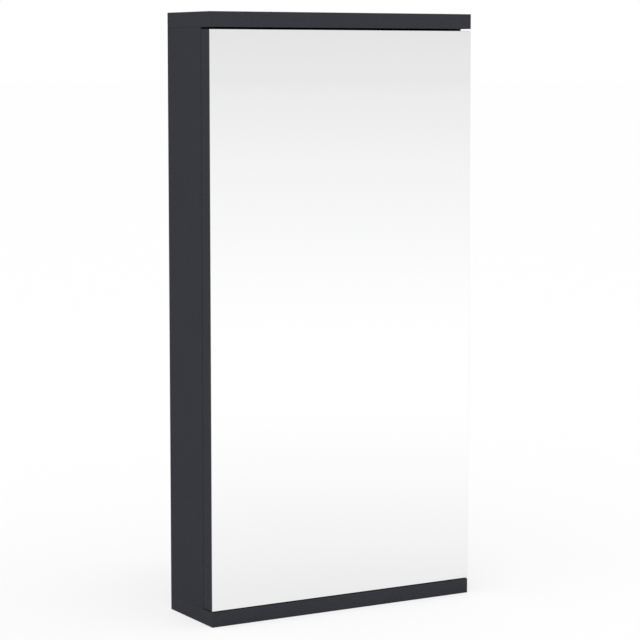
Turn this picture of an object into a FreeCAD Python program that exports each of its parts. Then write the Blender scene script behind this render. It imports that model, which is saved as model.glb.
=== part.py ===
import FreeCAD, Part
import math
import os

from FreeCAD import Vector

# Corner mirror cabinet: a five-sided board cabinet that hangs in the corner of a room,
# closed by one door with a mirror over its whole front. All lengths are in millimetres.
# X runs along the front to the right, Y from the front to the corner of the walls, Z up.
# The origin is the middle of the cabinet's box, at the height of its underside.

# Whole cabinet
cabinet_width = 300.0
cabinet_height = 600.0
side_depth = 90.0  # front plane to the start of the slanted wall face

# Boards
board = 15.0  # top, bottom and side panels
back_board = 15.0
shelf_board = 15.0
door_board = 15.0
mirror_thickness = 3.0
glass_ease = 0.2  # ground off the mirror's front edges
panel_ease = 0.2  # off the outer edges of the door board and of the top and bottom panels

# Gaps around the door
door_top_gap = 2.0
door_bottom_gap = 1.0
door_rear_gap = 0.6
door_hinge_bevel = 2.5  # along the rear edge that swings back past the side panel's front

# Shelves
shelf_count = 2
shelf_setback = 14.0  # behind the front edge of the side panels
shelf_side_gap = 0.8

# Every dry fit of a round piece in its hole, on the radius
fit = 0.05
# How far a cutter runs past what it cuts
overrun = 5.0

# Shelf pins
pin_radius = 2.5
pin_depth = 9.0
pin_tongue_radius = 3.5
pin_tongue = 8.0
pin_side_share = 0.4  # front pins, along the free length of the side panels
pin_back_x = 78.0  # rear pins, sideways from the middle

# Dowels
dowel_radius = 4.0
dowel_length = 30.0
dowel_in_top = 10.0
dowel_ease = 0.8
dowel_side_share = 0.25
dowel_near_x = 24.0  # on the slanted panels, sideways from the middle
dowel_far_x = 118.0

# Cam fittings
cam_radius = 7.4
cam_depth = 12.5
cam_inset = 24.5  # cam centre from the end of its panel
cam_side_share = 0.8
cam_back_x = 48.0
cam_cross = 8.0
cam_cross_width = 1.4
cam_cross_depth = 2.0
cam_bolt_radius = 2.5
cam_bolt_thread = 11.0
cam_bolt_thread_radius = 3.0
cam_bolt_head_radius = 3.4
cam_bolt_head = 3.0
cam_bolt_play = 0.6  # around the bolt in the panel's end and in the cam

# Holes for the wall screws
wall_hole_radius = 2.75
wall_hole_inset = 60.0  # from the cabinet's top and from its underside
wall_hole_x = 75.0

# Door buffers, pushed into the door's rear face
buffer_head_radius = 4.0
buffer_head = 0.5
buffer_head_ease = 0.3
buffer_stem_radius = 2.5
buffer_stem = 8.0
buffer_inset = 40.0

# Concealed hinges, on the right. Places in plan are measured across from the door's right
# edge towards the middle of the door, and behind the door's rear face into the cabinet.
hinge_inset = 100.0  # hinge centre from the door's upper and lower edge
cup_edge = 4.0  # door left between the cup's bore and the door's edge
cup_bore_radius = 17.5
cup_bore_depth = 11.5
cup_radius = 17.4
cup_depth = 11.3
cup_wall = 0.8
cup_floor = 0.9
cup_cheek = 1.2
cup_ear = 1.0
cup_ear_radius = 2.0
cup_flange = 1.0
cup_flange_lip = 1.0  # past the bowl, all round
cup_flange_clear = 0.4  # from the side panel's inner face to the flange's straight side
cup_wing_radius = 8.0
cup_screw_spread = 48.0
cup_screw_offset = 6.0
cup_screw_radius = 1.75
cup_screw_head_radius = 3.6
cup_screw_head = 1.0
cup_screw_length = 11.0
link_pin_radius = 1.25
slot_pin_radius = 1.0
running_fit = 0.06
arm_pivot_across = 37.0
arm_pivot_behind = 5.25
rear_pivot_across = 42.0
rear_pivot_behind = 12.3
cup_pivot_across = 10.1
cup_pivot_behind = -7.4
slot_pivot_across = 10.55
slot_pivot_behind = -3.0
link_thickness = 1.6
eye_radius = 2.3
outer_link_bow = 6.8
full_shares = (-1.0, 1.0)  # a strip's two ends, from its middle
outer_link_web_shares = (-0.35, 0.1)  # ends of the web between the two forks
outer_link_web_shift = 1.1  # the web is pressed outward, clear of the inner link
inner_link_bow = 4.0
slot_short = 1.6  # the slotted eye's reach past the pin, towards the arm
slot_long = 1.3
slot_play = 0.35
# Layers of the linkage, each half way out from the hinge's middle plane
inner_link_reach = 2.0
ear_gap = 0.4
bar_near = 4.3
bar_far = 6.0
cheek_gap = 0.6
arm_sheet = 1.2
arm_nose_radius = 3.3
arm_shoulder_radius = 4.3
arm_height = 13.0  # of the arm's web over the side panel
arm_foot_share = 0.32  # these shares run along the free length of the side panel
arm_slope_share = 0.36
arm_end_share = 0.94
plate_base = 2.0
plate_middle_share = 0.575  # the screws' line
plate_length_share = 0.53
plate_block_share = 0.4
plate_wing = 22.0
plate_screw_spread = 32.0
plate_wing_width = 12.0
plate_screw_radius = 1.75
plate_screw_head_radius = 3.6
plate_screw_head = 1.8
plate_screw_length = 13.0
arm_screw_spread_share = 0.25
arm_screw_radius = 2.0
arm_screw_head_radius = 3.6
arm_screw_head = 1.6
arm_screw_depth = 7.0
screw_cross = 4.0
screw_cross_width = 0.9
screw_cross_depth = 0.9
screw_ease = 0.4

# Worked out from the sizes above
half_width = cabinet_width / 2
cabinet_depth = side_depth + half_width
front_y = -cabinet_depth / 2
corner_y = cabinet_depth / 2
knee_y = front_y + side_depth
door_back_y = front_y + mirror_thickness + door_board
side_front_y = door_back_y + door_rear_gap
inner_low = board
inner_high = cabinet_height - board
door_low = inner_low + door_bottom_gap
door_high = inner_high - door_top_gap
inner_x = half_width - board
compartment = (inner_high - inner_low - shelf_count * shelf_board) / (shelf_count + 1)
slant = math.sqrt(2.0)
sides = (-1, 1)
side_room = knee_y + board - back_board * slant - side_front_y  # free length of a side panel
hinge_heights = {"lower": door_low + hinge_inset, "upper": door_high - hinge_inset}
cup_across = cup_edge + cup_bore_radius
cheek_near = bar_far + cheek_gap
cheek_far = cheek_near + arm_sheet
ear_near = inner_link_reach + ear_gap
ear_far = ear_near + cup_ear


def keep(name, shape):
    """Write one sub-part under its node's name."""
    shape.exportStep("parts/" + name + ".step")


def prism(outline, low, high):
    """An upright solid over a plan outline."""
    points = [Vector(x, y, low) for x, y in outline]
    face = Part.Face(Part.makePolygon(points + points[:1]))
    return face.extrude(Vector(0, 0, high - low))


def rod(start, direction, radius, length):
    return Part.makeCylinder(radius, length, start, direction)


def cut_all(shape, cutters):
    return shape.cut(Part.makeCompound(cutters)) if cutters else shape


def eased(shape, size, wanted):
    """Take a small chamfer off the edges that wanted picks."""
    return shape.makeChamfer(size, [edge for edge in shape.Edges if wanted(edge)])


def plan(front, side_inset, back_inset):
    """The cabinet's five-sided outline, drawn in from its outer faces."""
    x = half_width - side_inset
    y = knee_y + side_inset - back_inset * slant
    return [(-x, front), (x, front), (x, y), (0, corner_y - back_inset * slant), (-x, y)]


def wall_point(side, x, inset, z):
    """A point on a slanted panel, inset from its wall face."""
    return Vector(side * (x - inset / slant), knee_y + half_width - x - inset / slant, z)


def inward(side):
    """The direction from a slanted wall face into the cabinet."""
    return Vector(-side / slant, -1 / slant, 0)


def fitting_places():
    """Plan point, inward direction and board of each joint between an upright panel and an end
    panel, as two lists: those of the cam fittings and those of the dowels."""
    cams, dowels = [], []
    for side in sides:
        across = Vector(-side, 0, 0)
        middle = side * (half_width - board / 2)
        cams.append((Vector(middle, side_front_y + side_room * cam_side_share, 0), across, board))
        dowels.append(Vector(middle, side_front_y + side_room * dowel_side_share, 0))
        cams.append((wall_point(side, cam_back_x, back_board / 2, 0), inward(side), back_board))
        dowels += [wall_point(side, x, back_board / 2, 0) for x in (dowel_near_x, dowel_far_x)]
    return cams, dowels


def ends():
    """The plane where each end panel meets the uprights, and the direction into the uprights."""
    return ((inner_low, Vector(0, 0, 1)), (inner_high, Vector(0, 0, -1)))


def at_height(point, z):
    return Vector(point.x, point.y, z)


def dowel(point, z, into, grow=0):
    """A dowel with eased ends, or its hole where grow is the fit."""
    start = at_height(point, z) - into * (dowel_in_top + grow)
    body = rod(start, into, dowel_radius + grow, dowel_length + 2 * grow)
    if grow:
        return body
    return body.makeChamfer(dowel_ease, [edge for edge in body.Edges if edge.Closed])


def cam_disc(point, inside, thickness, z, into):
    """A cam disc: crossed slots in its face, and a channel for the bolt's head from the rim."""
    centre = at_height(point, z) + into * cam_inset
    face = centre + inside * (thickness / 2)
    body = rod(face, inside * -1, cam_radius, cam_depth)
    channel = rod(centre, into * -1, cam_bolt_head_radius + cam_bolt_play, cam_radius + overrun)
    pocket = rod(centre, into, cam_bolt_head_radius + cam_bolt_play, cam_bolt_head)
    cross = cross_recess(face, inside * -1, cam_cross, cam_cross_width, cam_cross_depth)
    return cut_all(body, [channel, pocket] + cross)


def cam_bolt(point, z, into):
    """A cam bolt: thread in the end panel, shank up to the cam, and the head that the cam grips."""
    foot = at_height(point, z)
    thread = rod(foot - into * cam_bolt_thread, into, cam_bolt_thread_radius, cam_bolt_thread)
    shank = rod(foot, into, cam_bolt_radius, cam_inset)
    head = rod(foot + into * (cam_inset - cam_bolt_head / 2), into, cam_bolt_head_radius, cam_bolt_head)
    return thread.fuse([shank, head]).removeSplitter()


def end_panel_holes(z, into):
    """Holes in an end panel for the dowels and the bolts' threads."""
    cams, dowels = fitting_places()
    holes = [dowel(point, z, into, fit) for point in dowels]
    for point, inside, thickness in cams:
        start = at_height(point, z) - into * (cam_bolt_thread + fit)
        holes.append(rod(start, into, cam_bolt_thread_radius + fit, cam_bolt_thread + overrun))
    return holes


def upright_holes():
    """Holes in the upright panels for the dowels, the cams and the bolts, at both ends."""
    cams, dowels = fitting_places()
    holes = []
    for z, into in ends():
        holes += [dowel(point, z, into, fit) for point in dowels]
        for point, inside, thickness in cams:
            centre = at_height(point, z) + into * cam_inset
            face = centre + inside * (thickness / 2)
            holes.append(rod(face + inside * overrun, inside * -1, cam_radius + fit,
                             cam_depth + fit + overrun))
            holes.append(rod(centre, into * -1, cam_bolt_head_radius + cam_bolt_play,
                             cam_inset + overrun))
    return holes


def shelf_heights():
    """The underside of each shelf."""
    step = compartment + shelf_board
    return [inner_low + compartment + index * step for index in range(shelf_count)]


def pin_places():
    """Where each shelf pin leaves its panel, and the way that it points."""
    places = []
    for z in shelf_heights():
        for side in sides:
            places.append((Vector(side * inner_x, side_front_y + side_room * pin_side_share, z),
                           Vector(-side, 0, 0)))
            places.append((wall_point(side, pin_back_x, back_board, z), inward(side)))
    return places


def shelf_pin(root, inside):
    """A pin whose tongue is cut flat where the shelf lies on it."""
    tongue = rod(root, inside, pin_tongue_radius, pin_tongue)
    stem = rod(root - inside * pin_depth, inside, pin_radius, pin_depth)
    half = pin_tongue + pin_tongue_radius
    above = block(root - Vector(half, half, 0), (2 * half, 2 * half, half))
    return stem.fuse(tongue.cut(above))


def pin_holes():
    """The stems' holes; the shelf's underside is level with the middle of each."""
    return [rod(root - inside * (pin_depth + fit), inside, pin_radius + fit, pin_depth + overrun)
            for root, inside in pin_places()]


def wall_holes():
    """Two screw holes through each slanted panel, square to the wall."""
    holes = []
    for side in sides:
        for z in (wall_hole_inset, cabinet_height - wall_hole_inset):
            start = wall_point(side, wall_hole_x, -overrun, z)
            holes.append(rod(start, inward(side), wall_hole_radius, back_board + 2 * overrun))
    return holes


def end_panels():
    """Top and bottom panels, the full five-sided outline of the cabinet."""
    outline = plan(front_y, 0, 0)
    for name, low, z, into in (("bottom_panel", 0, inner_low, Vector(0, 0, 1)),
                               ("top_panel", inner_high, inner_high, Vector(0, 0, -1))):
        panel = prism(outline, low, low + board)
        panel = eased(panel, panel_ease, lambda edge: True)
        keep(name, cut_all(panel, end_panel_holes(z, into)))


def side_panels(plate_holes):
    """Side panels: square front edge, rear edge bevelled to lie in the wall face."""
    for side, name in ((-1, "left_side_panel"), (1, "right_side_panel")):
        outline = [(half_width, side_front_y), (half_width, knee_y),
                   (inner_x, knee_y + board), (inner_x, side_front_y)]
        panel = prism([(side * x, y) for x, y in outline], inner_low, inner_high)
        keep(name, cut_all(panel, upright_holes() + pin_holes() + plate_holes))


def back_panels():
    """Slanted panels: the left one runs on to the corner and the right one butts against it."""
    near = knee_y + board
    end = back_board / slant
    butt = (end, corner_y - end)
    outlines = {
        "left_back_panel": [(-inner_x, near), (0, corner_y), butt, (-inner_x, near - 2 * end)],
        "right_back_panel": [(inner_x, near), butt, (0, corner_y - 2 * end), (inner_x, near - 2 * end)],
    }
    for name, outline in outlines.items():
        panel = prism(outline, inner_low, inner_high)
        keep(name, cut_all(panel, upright_holes() + pin_holes() + wall_holes()))


def shelves():
    inset = board + shelf_side_gap
    outline = plan(side_front_y + shelf_setback, inset, back_board + shelf_side_gap)
    for index, z in enumerate(shelf_heights()):
        name = ("lower_shelf", "upper_shelf")[index]
        keep(name, prism(outline, z, z + shelf_board))


def door():
    """The door board with its bores, and the mirror bonded over its whole front."""
    board_front = front_y + mirror_thickness
    outline = [(-half_width, board_front), (half_width, board_front),
               (half_width, door_back_y - door_hinge_bevel),
               (half_width - door_hinge_bevel, door_back_y), (-half_width, door_back_y)]
    panel = eased(prism(outline, door_low, door_high), panel_ease, on_plane(door_back_y))
    keep("door_panel", cut_all(panel, cup_holes() + buffer_holes()))
    outline = [(-half_width, front_y), (half_width, front_y),
               (half_width, board_front), (-half_width, board_front)]
    glass = eased(prism(outline, door_low, door_high), glass_ease, on_plane(front_y))
    keep("mirror_glass", glass)


def on_plane(y):
    """Picks the edges that lie in one upright plane across the cabinet."""
    return lambda edge: all(math.isclose(vertex.Y, y) for vertex in edge.Vertexes)


def buffer_places():
    """Middles of the buffers on the door's rear face, over the left side panel's edge."""
    heights = (door_low + buffer_inset, door_high - buffer_inset)
    return [Vector(-half_width + board / 2, door_back_y, z) for z in heights]


def buffer_holes():
    forward = Vector(0, -1, 0)
    return [rod(start - forward * overrun, forward, buffer_stem_radius + fit, overrun + buffer_stem + fit)
            for start in buffer_places()]


def door_buffers():
    """Soft plastic buffers: a flat head with an eased rim, and a stem in the door."""
    back = Vector(0, 1, 0)
    solids = []
    for start in buffer_places():
        head = rod(start, back, buffer_head_radius, buffer_head)
        head = eased(head, buffer_head_ease, on_plane(start.y + buffer_head))
        solids.append(head.fuse(rod(start, back * -1, buffer_stem_radius, buffer_stem)))
    keep("door_buffers", Part.makeCompound(solids))


def carcass_fittings():
    """Shelf pins, dowels, cam discs and cam bolts, each kind as one group of solids."""
    cams, dowels = fitting_places()
    keep("shelf_pins", Part.makeCompound([shelf_pin(root, inside) for root, inside in pin_places()]))
    keep("dowels", Part.makeCompound(
        [dowel(point, z, into) for z, into in ends() for point in dowels]))
    keep("cam_discs", Part.makeCompound(
        [cam_disc(point, inside, thickness, z, into)
         for z, into in ends() for point, inside, thickness in cams]))
    keep("cam_bolts", Part.makeCompound(
        [cam_bolt(point, z, into) for z, into in ends() for point, inside, thickness in cams]))


def place(across, behind, z=0):
    """A point of the hinge, from its place in plan and its height from the hinge's middle."""
    return Vector(half_width - across, door_back_y + behind, z)


arm_pivot = place(arm_pivot_across, arm_pivot_behind)
rear_pivot = place(rear_pivot_across, rear_pivot_behind)
cup_pivot = place(cup_pivot_across, cup_pivot_behind)
slot_pivot = place(slot_pivot_across, slot_pivot_behind)


def along_side(share):
    """How far behind the door's rear face a share of the side panel's free length reaches."""
    return door_rear_gap + side_room * share


def slab(outline, near, far):
    """A flat solid over a closed plan outline of points, from one height to another."""
    points = [Vector(point.x, point.y, near) for point in outline]
    return Part.Face(Part.makePolygon(points + points[:1])).extrude(Vector(0, 0, far - near))


def block(corner, size):
    """A box from its lowest corner."""
    return Part.makeBox(*size, corner)


def disc(centre, radius, near, far):
    return rod(at_height(centre, near), Vector(0, 0, 1), radius, far - near)


def stub_pins(pivot, near, far):
    """Two short pins, one on each side of the hinge's middle plane."""
    return [disc(pivot, link_pin_radius, near, far), disc(pivot, link_pin_radius, -far, -near)]


def bowed_strip(start, end, bow, shares=full_shares, shift=0):
    """The plan face of a strip bent to an arc that bows out by a given height. Shares pick a
    part of its length, and shift moves it outward from the arc."""
    along = end - start
    length = along.Length
    along = along / length
    out = Vector(along.y, -along.x, 0)
    radius = (length * length / 4 + bow * bow) / (2 * bow)
    centre = (start + end) / 2 + out * (bow - radius)
    first, last = (math.asin(length / (2 * radius)) * share for share in shares)
    middle = (first + last) / 2

    def point(turn, distance):
        return centre + (out * math.cos(turn) + along * math.sin(turn)) * distance

    near = radius + shift - link_thickness / 2
    far = near + link_thickness
    edges = [
        Part.Arc(point(first, near), point(middle, near), point(last, near)).toShape(),
        Part.makeLine(point(last, near), point(last, far)),
        Part.Arc(point(last, far), point(middle, far), point(first, far)).toShape(),
        Part.makeLine(point(first, far), point(first, near)),
    ]
    return Part.Face(Part.Wire(edges))


def extruded(face, near, far):
    return face.translated(Vector(0, 0, near)).extrude(Vector(0, 0, far - near))


def outer_link():
    """A bent plate, forked at both ends so that the inner link can pass between its eyes."""
    whole = bowed_strip(arm_pivot, cup_pivot, outer_link_bow)
    web = bowed_strip(arm_pivot, cup_pivot, outer_link_bow, outer_link_web_shares,
                      outer_link_web_shift)
    solids = [extruded(web, -bar_far, bar_far)]
    for near, far in ((bar_near, bar_far), (-bar_far, -bar_near)):
        solids.append(extruded(whole, near, far))
        solids += [disc(eye, eye_radius, near, far) for eye in (arm_pivot, cup_pivot)]
    bores = [disc(eye, link_pin_radius + running_fit, -bar_far - overrun, bar_far + overrun)
             for eye in (arm_pivot, cup_pivot)]
    return solids[0].fuse(solids[1:]).removeSplitter().cut(Part.makeCompound(bores))


def slot_outline(near_radius):
    """Plan outline of a slot along the inner link, about the cup's slot pin."""
    along = slot_pivot - rear_pivot
    along = along / along.Length
    across = Vector(-along.y, along.x, 0) * near_radius
    first = slot_pivot - along * slot_short
    last = slot_pivot + along * slot_long
    edges = [
        Part.makeLine(first + across, last + across),
        Part.Arc(last + across, last + along * near_radius, last - across).toShape(),
        Part.makeLine(last - across, first - across),
        Part.Arc(first - across, first - along * near_radius, first + across).toShape(),
    ]
    return Part.Face(Part.Wire(edges))


def inner_link():
    """A narrow bent strip: a barrel on the arm's rear pivot and a slotted eye in the cup."""
    reach = inner_link_reach
    strip = extruded(bowed_strip(rear_pivot, slot_pivot, inner_link_bow), -reach, reach)
    barrel = disc(rear_pivot, eye_radius, -bar_far, bar_far)
    inside = slot_pin_radius + slot_play
    eye = extruded(slot_outline(inside + link_thickness / 2), -reach, reach)
    bore = disc(rear_pivot, link_pin_radius + running_fit, -bar_far - overrun, bar_far + overrun)
    slot = extruded(slot_outline(inside), -reach - overrun, reach + overrun)
    return strip.fuse([barrel, eye]).removeSplitter().cut(Part.makeCompound([bore, slot]))


def arm():
    """The hinge arm: a pressed channel with its web towards the room, open towards the plate."""
    def outline(shift):
        return [place(across - shift, behind) for across, behind in (
            (arm_pivot_across + arm_nose_radius, arm_pivot_behind),
            (rear_pivot_across + arm_shoulder_radius, rear_pivot_behind),
            (board + arm_height, along_side(arm_slope_share)),
            (board + arm_height, along_side(arm_end_share)),
            (board + plate_base, along_side(arm_end_share)),
            (board + plate_base, along_side(arm_foot_share)),
            (arm_pivot_across - arm_nose_radius, arm_pivot_behind))]
    solid = slab(outline(0), -cheek_far, cheek_far)
    solid = solid.fuse([disc(arm_pivot, arm_nose_radius, -cheek_far, cheek_far),
                        disc(rear_pivot, arm_shoulder_radius, -cheek_far, cheek_far)])
    hollow = slab(outline(arm_sheet), -cheek_near, cheek_near)
    mouth = block(place(cabinet_width, -cup_depth, -cheek_near),
                  (cabinet_width, cup_depth + rear_pivot_behind, 2 * cheek_near))
    under = block(place(board + arm_height - arm_sheet, along_side(arm_slope_share), -cheek_near),
                  (board + arm_height, side_room, 2 * cheek_near))
    barrel = disc(rear_pivot, arm_shoulder_radius - arm_sheet, -cheek_near, cheek_near)
    bores = [disc(eye, link_pin_radius, -cheek_far - overrun, cheek_far + overrun)
             for eye in (arm_pivot, rear_pivot)]
    screws = [rod(start, Vector(1, 0, 0), arm_screw_radius + fit, arm_height)
              for start in arm_screw_places(overrun)]
    return cut_all(solid, [hollow, mouth, under, barrel] + bores + screws)


def arm_screw_places(out):
    """Starts of the two screws in the arm's web, so far out from it."""
    shares = [plate_middle_share + side * arm_screw_spread_share / 2 for side in sides]
    return [place(board + arm_height + out, along_side(share)) for share in shares]


def plate():
    """The mounting plate: a base with two screw wings, and the block that the arm is clamped to."""
    def piece(height, length, reach):
        corner = place(board + height, along_side(plate_middle_share) - length / 2, -reach)
        return block(corner, (height, length, 2 * reach))

    base = piece(plate_base, side_room * plate_length_share, cheek_far)
    wings = piece(plate_base, plate_wing_width, plate_wing)
    rest = piece(arm_height - arm_sheet, side_room * plate_block_share, cheek_near - fit)
    holes = [rod(start, Vector(1, 0, 0), plate_screw_radius + fit, plate_base + 2 * overrun)
             for start in plate_screw_places(plate_base + overrun)]
    holes += [rod(start, Vector(1, 0, 0), arm_screw_radius + fit, arm_sheet + arm_screw_depth + fit)
              for start in arm_screw_places(0)]
    return cut_all(base.fuse([wings, rest]).removeSplitter(), holes)


def plate_screw_places(out):
    """Starts of the two screws in the plate's wings, so far out from the side panel."""
    middle = along_side(plate_middle_share)
    return [place(board + out, middle, side * plate_screw_spread / 2) for side in sides]


def cup():
    """The pressed cup: bowl, flange with two screw wings, and the cheeks and ears for its pins."""
    centre = place(cup_across, 0)
    back = Vector(0, 1, 0)
    bowl = rod(centre - back * cup_depth, back, cup_radius, cup_depth)
    flange = cup_flange_plate(centre)
    inner = cup_radius - cup_wall
    hollow = rod(centre - back * (cup_depth - cup_floor), back, inner, cup_depth + overrun)
    shell = bowl.fuse(flange).cut(hollow)
    pieces = cup_lugs(cup_pivot, eye_radius, cheek_near, cheek_near + cup_cheek)
    pieces += cup_lugs(slot_pivot, cup_ear_radius, ear_near, ear_far)
    within = rod(centre - back * (cup_depth - cup_floor / 2), back, inner + cup_wall / 2, cup_depth)
    inside = pieces[0].fuse(pieces[1:]).common(within)
    bores = [disc(cup_pivot, link_pin_radius, -cup_radius, cup_radius),
             disc(slot_pivot, slot_pin_radius, -cup_radius, cup_radius)]
    bores = [bore.common(rod(centre - back * cup_depth, back, inner, cup_depth)) for bore in bores]
    screws = [rod(start, back * -1, cup_screw_radius + fit, cup_flange + 2 * overrun)
              for start in cup_screw_places(cup_flange + overrun)]
    return cut_all(shell.fuse(inside).removeSplitter(), bores + screws)


def cup_lugs(pivot, radius, near, far):
    """A pair of upright lugs on the cup's floor, rounded over the pin that they hold."""
    foot = door_back_y - cup_depth
    stand = block(Vector(pivot.x - radius, foot, near), (2 * radius, pivot.y - foot, far - near))
    lug = stand.fuse(disc(pivot, radius, near, far))
    return [lug, lug.mirror(Vector(0, 0, 0), Vector(0, 0, 1))]


def cup_flange_plate(centre):
    """The flange on the door's rear face: a round plate cut straight beside the side panel, with
    a wing above and below for the screws."""
    back = Vector(0, 1, 0)
    round_part = rod(centre, back, cup_radius + cup_flange_lip, cup_flange)
    wing_centre = centre - Vector(cup_screw_offset, 0, 0)
    half_spread = cup_screw_spread / 2
    pads = [rod(wing_centre + Vector(0, 0, side * half_spread), back, cup_wing_radius, cup_flange)
            for side in sides]
    strap = block(wing_centre - Vector(cup_wing_radius, 0, half_spread),
                  (2 * cup_wing_radius, cup_flange, cup_screw_spread))
    beyond = block(place(board + cup_flange_clear, -overrun, -cup_screw_spread),
                   (2 * cup_radius, cup_flange + 2 * overrun, 2 * cup_screw_spread))
    return round_part.fuse(pads + [strap]).removeSplitter().cut(beyond)


def cup_screw_places(out):
    return [place(cup_across + cup_screw_offset, out, side * cup_screw_spread / 2) for side in sides]


def cup_holes():
    """Bores in the door board for the cups and their screws."""
    back = Vector(0, 1, 0)
    holes = []
    for z in hinge_heights.values():
        bore = rod(place(cup_across, -cup_bore_depth, z), back, cup_bore_radius, cup_bore_depth + overrun)
        holes.append(bore)
        for start in cup_screw_places(overrun):
            start = start + Vector(0, 0, z)
            holes.append(rod(start, back * -1, cup_screw_radius + fit, cup_screw_length + overrun))
    return holes


def plate_holes():
    """Bores in the right side panel for the screws of the mounting plates."""
    return [rod(start + Vector(0, 0, z), Vector(1, 0, 0), plate_screw_radius + fit,
                plate_screw_length + overrun)
            for z in hinge_heights.values() for start in plate_screw_places(overrun)]


def cross_recess(top, into, size, width, depth):
    """Cutters for a crossed recess in a round face whose middle is top."""
    slots = []
    for along in (Vector(0, 0, 1), Vector(0, 0, 1).cross(into)):
        side = along.cross(into)
        start = top - along * (size / 2) - side * (width / 2) - into * overrun
        corners = [start, start + along * size, start + along * size + side * width,
                   start + side * width, start]
        slots.append(Part.Face(Part.makePolygon(corners)).extrude(into * (depth + overrun)))
    return slots


def screw(face, into, head_radius, head, radius, length):
    """A pan-head screw: face is where its head lies on the piece it holds."""
    top = face - into * head
    cap = rod(top, into, head_radius, head)
    rim = [edge for edge in cap.Edges
           if edge.Closed and math.isclose(edge.CenterOfMass.dot(into), top.dot(into))]
    body = cap.makeChamfer(screw_ease, rim).fuse(rod(face, into, radius, length))
    return cut_all(body, cross_recess(top, into, screw_cross, screw_cross_width, screw_cross_depth))


def at_hinges(shapes):
    """The same shapes at both hinges, as one group."""
    return Part.makeCompound([shape.translated(Vector(0, 0, z))
                              for z in hinge_heights.values() for shape in shapes])


def hinges():
    """Both hinges: each piece of one hinge is its own node, alike pins and screws share one."""
    makers = {"plate": plate, "arm": arm, "outer_link": outer_link, "inner_link": inner_link,
              "cup": cup}
    for piece, make in makers.items():
        shape = make()
        for level, z in hinge_heights.items():
            keep(level + "_hinge_" + piece, shape.translated(Vector(0, 0, z)))
    arm_studs = stub_pins(arm_pivot, bar_near, cheek_far)
    rear_pin = disc(rear_pivot, link_pin_radius, -cheek_far, cheek_far)
    keep("hinge_arm_pins", at_hinges(arm_studs + [rear_pin]))
    cup_studs = stub_pins(cup_pivot, ear_near, cheek_near + cup_cheek)
    slot_pin = disc(slot_pivot, slot_pin_radius, -ear_far, ear_far)
    keep("hinge_cup_pins", at_hinges(cup_studs + [slot_pin]))
    keep("hinge_cup_screws", at_hinges([
        screw(start, Vector(0, -1, 0), cup_screw_head_radius, cup_screw_head, cup_screw_radius,
              cup_screw_length) for start in cup_screw_places(cup_flange)]))
    keep("hinge_plate_screws", at_hinges([
        screw(start, Vector(1, 0, 0), plate_screw_head_radius, plate_screw_head, plate_screw_radius,
              plate_screw_length) for start in plate_screw_places(plate_base)]))
    keep("hinge_adjusting_screws", at_hinges([
        screw(start, Vector(1, 0, 0), arm_screw_head_radius, arm_screw_head, arm_screw_radius,
              arm_sheet + arm_screw_depth) for start in arm_screw_places(0)]))


def main():
    os.makedirs("parts", exist_ok=True)
    end_panels()
    side_panels(plate_holes())
    back_panels()
    shelves()
    door()
    door_buffers()
    carcass_fittings()
    hinges()


main()
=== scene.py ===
# %% [markdown]
# A corner mirror cabinet
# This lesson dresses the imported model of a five-sided wall cabinet: dark melamine boards, a
# mirror over the whole door, and two concealed hinges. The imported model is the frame: its
# pieces are in place and at their real size, so nothing has to be fitted by eye. What it
# lacks is what this script adds: finishes, and the small rounds that a saw or a press leaves.

# %% Load the frame
import math

import bmesh
import bpy
from mathutils import Euler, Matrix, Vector


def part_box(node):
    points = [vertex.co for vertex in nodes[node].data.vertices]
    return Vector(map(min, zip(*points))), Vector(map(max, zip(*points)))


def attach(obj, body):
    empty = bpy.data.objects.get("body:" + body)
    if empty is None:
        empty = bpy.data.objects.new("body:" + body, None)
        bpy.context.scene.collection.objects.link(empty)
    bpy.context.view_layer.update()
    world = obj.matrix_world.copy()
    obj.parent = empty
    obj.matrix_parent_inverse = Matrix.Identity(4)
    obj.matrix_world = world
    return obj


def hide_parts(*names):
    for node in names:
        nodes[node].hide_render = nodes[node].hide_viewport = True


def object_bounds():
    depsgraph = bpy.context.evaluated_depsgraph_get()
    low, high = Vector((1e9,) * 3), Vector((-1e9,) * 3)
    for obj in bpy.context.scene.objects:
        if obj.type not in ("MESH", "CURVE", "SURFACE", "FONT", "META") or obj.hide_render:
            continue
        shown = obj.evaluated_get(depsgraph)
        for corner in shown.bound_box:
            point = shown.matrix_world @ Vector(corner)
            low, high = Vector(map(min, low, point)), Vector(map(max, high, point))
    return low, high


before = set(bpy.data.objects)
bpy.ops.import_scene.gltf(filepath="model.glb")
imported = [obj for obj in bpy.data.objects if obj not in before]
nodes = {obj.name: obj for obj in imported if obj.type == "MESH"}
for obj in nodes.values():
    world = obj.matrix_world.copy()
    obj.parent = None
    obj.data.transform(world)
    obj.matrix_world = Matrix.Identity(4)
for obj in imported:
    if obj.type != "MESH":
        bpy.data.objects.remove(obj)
cad_low, cad_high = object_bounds()
print("cabinet in mm:", [round(1000 * size) for size in cad_high - cad_low])

# %% [markdown]
# Places could be typed in, but then they go wrong as soon as the model changes. So they come
# from the boxes of its nodes. The front plane is the mirror's front face: the mirror's edge
# and the dark end of the studio, which the floor shows as painted shade, are both measured
# from it.

# %% Sizes from the frame
mm = 0.001
mirror_low, mirror_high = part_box("mirror_glass")
FRONT = mirror_low.y
print("front plane in mm:", round(FRONT / mm, 1), "mirror:", round((mirror_high.y - FRONT) / mm, 1))

# %% [markdown]
# Shader maths reads best as plain expressions. One small class wraps a node's socket and
# overloads the operators, so that `1 - mask` adds its Math node by itself. A second class
# holds a node tree and adds any other node: its settings first, then its sockets. Adding
# every node and link by hand would give the same trees, at three lines for each node.


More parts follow.
